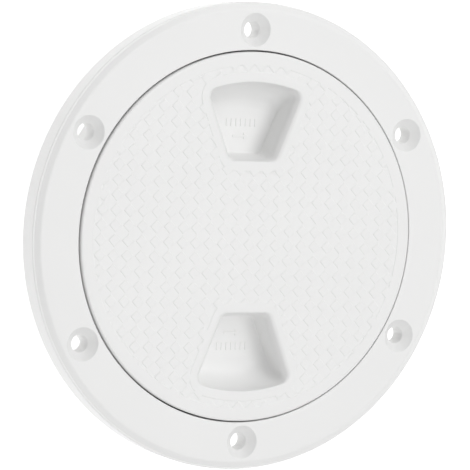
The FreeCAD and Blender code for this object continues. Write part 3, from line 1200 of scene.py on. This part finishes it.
@dataclass
class Cover(Moulding):
    """The screw-out cover: rim, tread, finger recesses, ribs and threaded skirt."""

    radius: float = Part.LID.box()[1].x
    face_height: float = Part.LID.box()[1].z
    skirt_end: float = Part.LID.box()[0].z
    edge_round: float = 0.6
    rim_thickness: float = 3.1
    rim_round: float = 0.3
    plate_thickness: float = 3.0
    pilot_radius: float = 53.2
    pilot_height: float = 4.0
    pilot_round: float = 0.2
    root_radius: float = 51.8
    skirt_wall: float = 2.6
    skirt_bevel: float = 0.6
    bevel_round: float = 0.1
    flat_margin: float = 1.2
    rib_thickness: float = 2.2
    rib_depth: float = 6.0
    rib_round: float = 0.35
    short_rib_rise: float = 0.1
    thread_start: float = -10.975
    thread_turns: float = 2.0
    recess: Recess = field(default_factory=Recess)
    marks: FloorMarks = field(default_factory=FloorMarks)
    tread: Tread = field(default_factory=Tread)

    def edge_chain(self) -> Path:
        """The cover's outside.

        Returns:
            Its radius and height, from the face round the rim and skirt to the plate's underside.
        """
        under = self.face_height - self.rim_thickness
        pilot = under - self.pilot_height + self.rim_thickness
        inner = self.root_radius - self.skirt_wall
        return rounded([
            (self.radius - self.flat_margin, self.face_height, 0.0),
            (self.radius, self.face_height, self.edge_round),
            (self.radius, under, self.rim_round),
            (self.pilot_radius, under, self.bevel_round),
            (self.pilot_radius, pilot, self.pilot_round),
            (self.root_radius, pilot, self.bevel_round),
            (self.root_radius, self.skirt_end + self.skirt_bevel, self.bevel_round),
            (self.root_radius - self.skirt_bevel, self.skirt_end, self.bevel_round),
            (inner, self.skirt_end, self.rim_round),
            (inner, self.face_height - self.plate_thickness, 0.0),
        ])

    def build(self) -> Object:
        """Builds the cover.

        Returns:
            The piece.
        """
        chain = self.edge_chain()
        recess_floor = self.face_height - self.recess.depth
        self.shell.revolve(chain)
        self.add_top(chain[0][0])
        self.add_underside(chain[-1][0])
        self.add_recesses()
        self.shell.join(self.marks.mesh(self.recess.turn, recess_floor, self.material))
        self.add_ribs(chain[-1][0])
        place = (self.root_radius, self.thread_start, self.thread_turns)
        self.shell.join(Thread("lid_thread", ThreadSide.OUTWARD, self.material, *place).mesh())
        return self.stand_in("cover_moulding", Part.LID)

    def add_top(self, outer: float) -> None:
        """Adds the cover's face: plain rim and borders, the sunk field and its studs.

        Args:
            outer: the radius where the rim's rounding starts.
        """
        tread = self.tread
        recess = self.recess
        floor = self.face_height - tread.depth
        insets, shares = zip(*tread.steps())
        half_run = tread.run() / 2
        mouths = []
        borders = []
        lines = []
        for side in RecessSide:
            rim = recess.outline(0.0, recess.rim_round, recess.side_flare)
            mouths.append(recess.placed(rim, side))
            borders.append(recess.placed(recess.outline(0.0, tread.border), side))
            for inset in insets:
                wall = recess.outline(0.0, tread.border + half_run - inset)
                lines.append(closed(recess.placed(wall, side)))
        lines.extend(closed(circle(tread.radius - half_run + inset)) for inset in insets)
        studs, clear = tread.studs(borders, (floor, self.face_height), self.material)
        self.shell.join(studs)
        cut = tread.cut_studs(clear, borders)
        for middle in cut:
            for inset in insets:
                around = [(x + middle[0], y + middle[1]) for x, y in tread.stud_outline(inset)]
                chain = finer(closed(around), tread.line_step)
                sunk = tread.edge_depth(np.array(chain), borders) < 2 * tread.run()
                lines.extend(chain[i:i + 2] for i in range(len(chain) - 1) if sunk[i] or sunk[i + 1])
        LOG.info("tread: %d clear studs, %d cut studs", len(clear), len(cut))

        points, triangles = filled(circle(outer), mouths, lines)
        spots = np.array(points)
        depth = tread.edge_depth(spots, borders)
        for middle in cut:
            depth = np.maximum(depth, tread.stud_depth(spots, middle))
        heights = floor + tread.depth * np.interp(depth, insets, shares)
        self.shell.add([(x, y, z) for (x, y), z in zip(points, heights)], triangles)

    def add_underside(self, outer: float) -> None:
        """Adds the plate's underside, open where the recess cups stand down from it.

        Args:
            outer: the inner radius of the skirt.
        """
        recess = self.recess
        sink = self.plate_thickness / (recess.depth + recess.wall)
        cup = recess.outline(sink, recess.wall, recess.side_flare)
        cups = [recess.placed(cup, side) for side in RecessSide]
        self.shell.fill(self.face_height - self.plate_thickness, circle(outer), cups)

    def add_recesses(self) -> None:
        """Adds the recesses and the outside of their cups."""
        recess = self.recess
        top = self.face_height
        deep = recess.depth + recess.wall
        inside = recess.mouth(top) + recess.cup(top, recess.depth, 0.0, recess.rim_round)
        outside = recess.cup(top, deep, recess.wall, self.plate_thickness)
        for side in RecessSide:
            for levels in (inside, outside):
                rings = [lifted(recess.placed(points, side), height) for points, height in levels]
                self.shell.loft(rings, lid_last=True)

    def add_ribs(self, inner: float) -> None:
        """Adds the two crossed ribs under the plate, the short one a little less deep.

        Args:
            inner: the inner radius of the skirt.
        """
        thick = self.rib_thickness / 2
        top = self.face_height - self.plate_thickness / 2
        deep = self.face_height - self.plate_thickness - self.rib_depth
        bevel = self.rib_round / 4
        for half_x, half_y, rise in (
            (inner + self.skirt_wall / 2, thick, 0.0),
            (thick, self.recess.inner_edge, self.short_rib_rise),
        ):
            foot = deep + rise
            rings = []
            for inset, height in (
                (self.rib_round, foot), (bevel, foot + bevel), (0.0, foot + self.rib_round), (0.0, top),
            ):
                x = half_x - inset
                y = half_y - inset
                rings.append(lifted([(-x, -y), (x, -y), (x, y), (-x, y)], height))
            self.shell.loft(rings, lid_first=True, lid_last=True)


@dataclass
class SealRing(Moulding):
    """The rubber ring between the cover's rim and the seat in the ring."""

    bottom: float = Part.SEAL.box()[0].z
    top: float = Part.SEAL.box()[1].z
    outer_radius: float = Part.SEAL.box()[1].x
    width: float = 3.1
    arc_steps: int = 16

    def chain(self) -> Path:
        """The squeezed section: two half circles joined by flats.

        Returns:
            Its radius and height, counter-clockwise from the middle of its underside.
        """
        radius = (self.top - self.bottom) / 2
        middle = (self.top + self.bottom) / 2
        outer = (self.outer_radius - radius, middle)
        inner = (self.outer_radius - self.width + radius, middle)
        outside = arc(outer, radius, (-QUARTER, QUARTER), self.arc_steps)
        return outside + arc(inner, radius, (QUARTER, 3 * QUARTER), self.arc_steps)

    def build(self) -> Object:
        """Builds the seal.

        Returns:
            The piece.
        """
        self.shell.revolve(closed(self.chain()))
        return self.stand_in("seal_ring", Part.SEAL)


@dataclass(frozen=True)
class Lamp:
    """A soft studio lamp."""

    name: str
    place: Spot
    size: float
    power: float

    def build(self) -> None:
        """Hangs the lamp and aims it at the middle of the ring."""
        light = bpy.data.lights.new(self.name, "AREA")
        light.shape = "DISK"
        light.size = self.size
        light.energy = self.power
        lamp = placed_object(self.name, light)
        lamp.location = self.place
        lamp.rotation_euler = Vector(self.place).to_track_quat("Z", "Y").to_euler()


def level_by_ray(wiring: Wiring, lighting: float, seen: float) -> NodeSocket:
    """A level that differs between the rays that light the object and those that are seen.

    Args:
        wiring: the tree that gets the nodes.
        lighting: the level for rays that only light.
        seen: the level for camera, glossy and transmission rays.

    Returns:
        The level's socket.
    """
    total = 0.0
    for ray in SEEN_RAYS:
        one = wiring.node("ShaderNodeLightPath", output=f"Is {ray} Ray")
        total = wiring.maths("MAXIMUM", total, one)
    return wiring.node("ShaderNodeMapRange", {"Value": total, "To Min": lighting, "To Max": seen})


@dataclass
class Studio:
    """The pale floor, the soft light and the camera."""

    floor_half: float = 3.0
    floor_colour: float = 0.8
    floor_glow: float = 0.555
    floor_seen_glow: float = 0.6
    world_level: float = 0.407
    world_seen_level: float = 1.0
    lens: float = 225.8
    camera_place: Spot = (-0.4217, 0.0721, 0.7889)
    camera_right: Spot = (0.8849, 0.0337, 0.4646)
    camera_up: Spot = (0.0073, 0.9962, -0.0863)
    lamps: tuple[Lamp, ...] = (
        Lamp("key_lamp", (0.441, 0.0, 1.538), 1.2, 6.3),
        Lamp("upper_lamp", (0.566, 0.98, 1.131), 1.2, 8.0),
        Lamp("lower_lamp", (-0.419, -1.152, 1.028), 1.2, 4.8),
    )

    def build_floor(self) -> None:
        """Lays the floor under the collar: white to the camera, with the object's shadow."""
        level = Part.RING.box()[0].z * MM
        half = self.floor_half
        corners = [(-half, -half, level), (half, -half, level), (half, half, level), (-half, half, level)]
        mesh = bpy.data.meshes.new("floor")
        mesh.from_pydata(corners, [], [(0, 1, 2, 3)])
        floor = placed_object("floor", mesh)
        made = bpy.data.materials.new("pale_floor")
        made.use_nodes = True
        nodes = made.node_tree.nodes
        nodes.remove(nodes["Principled BSDF"])
        wiring = Wiring(made.node_tree)
        matt = wiring.node("ShaderNodeBsdfDiffuse", {"Color": (self.floor_colour,) * 3 + (1.0,)})
        strength = level_by_ray(wiring, self.floor_glow, self.floor_seen_glow)
        glow = wiring.node("ShaderNodeEmission", {"Strength": strength})
        total = wiring.node("ShaderNodeAddShader", {0: matt, 1: glow})
        wiring.feed(nodes["Material Output"], {"Surface": total})
        mesh.materials.append(made)

    def build_world(self) -> None:
        """Sets the even light from all round, seen as white."""
        world = bpy.data.worlds.new("studio")
        bpy.context.scene.world = world
        world.use_nodes = True
        wiring = Wiring(world.node_tree)
        level = level_by_ray(wiring, self.world_level, self.world_seen_level)
        sky = world.node_tree.nodes["Background"]
        wiring.feed(sky, {"Strength": level, "Color": (1.0, 1.0, 1.0, 1.0)})

    def build_camera(self) -> None:
        """Sets the camera at the photograph's place, measured from the ring's face."""
        face = Vector((0.0, 0.0, Part.RING.box()[1].z * MM))
        right = Vector(self.camera_right).normalized()
        back = right.cross(Vector(self.camera_up)).normalized()
        up = back.cross(right)
        data = bpy.data.cameras.new("camera")
        data.lens = self.lens
        camera = placed_object("camera", data)
        turn = Matrix((right, up, back)).transposed().to_4x4()
        camera.matrix_world = Matrix.Translation(Vector(self.camera_place) + face) @ turn
        bpy.context.scene.camera = camera

    def build(self) -> None:
        """Sets up the floor, the light and the camera."""
        bpy.context.scene.view_settings.view_transform = "Standard"
        self.build_floor()
        self.build_world()
        self.build_camera()
        for lamp in self.lamps:
            lamp.build()


def main() -> None:
    """Builds the plate and its studio."""
    logging.basicConfig(level=logging.INFO, format="%(name)s: %(message)s")
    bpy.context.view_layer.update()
    for moulding in (
        MountingRing(MouldedPlastic("ring_white_plastic").material()),
        SealRing(SealRubber("seal_black_rubber").material()),
        Cover(MouldedPlastic("cover_white_plastic").material()),
    ):
        piece = moulding.build()
        LOG.info("%s: %s, %d faces", type(moulding).__name__, piece.name, len(piece.data.polygons))
    Studio().build()


if __name__ == "__main__":
    main()
